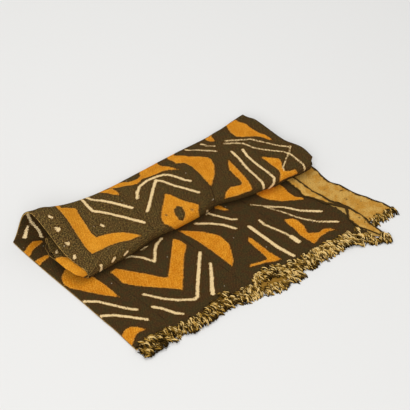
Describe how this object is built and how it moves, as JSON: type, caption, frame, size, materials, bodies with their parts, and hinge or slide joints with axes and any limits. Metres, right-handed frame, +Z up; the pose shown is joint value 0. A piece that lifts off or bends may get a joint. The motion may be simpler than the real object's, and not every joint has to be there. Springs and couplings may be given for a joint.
{
  "type": "throw blanket",
  "caption": "Fringed throw of hand-woven strips, folded in half lengthwise and wound loosely from its far end, front end lying flat.",
  "frame": {"origin": "middle of the flat underside, on the surface that the blanket lies on", "axes": "+X along the fringed hem from the lengthwise fold to the raw edges, +Y from the fringe to the back fold, +Z up"},
  "size_m": [0.6, 0.4595, 0.066],
  "materials": {
    "cloth": "coarse hand-woven cotton, painted dark olive brown, orange and cream",
    "fringe": "curly cotton yarn ends, olive and cream"
  },
  "bodies": {
    "root": {"cloth": "cloth", "fringe_lower": "fringe", "fringe_upper": "fringe"}
  },
  "joints": []
}
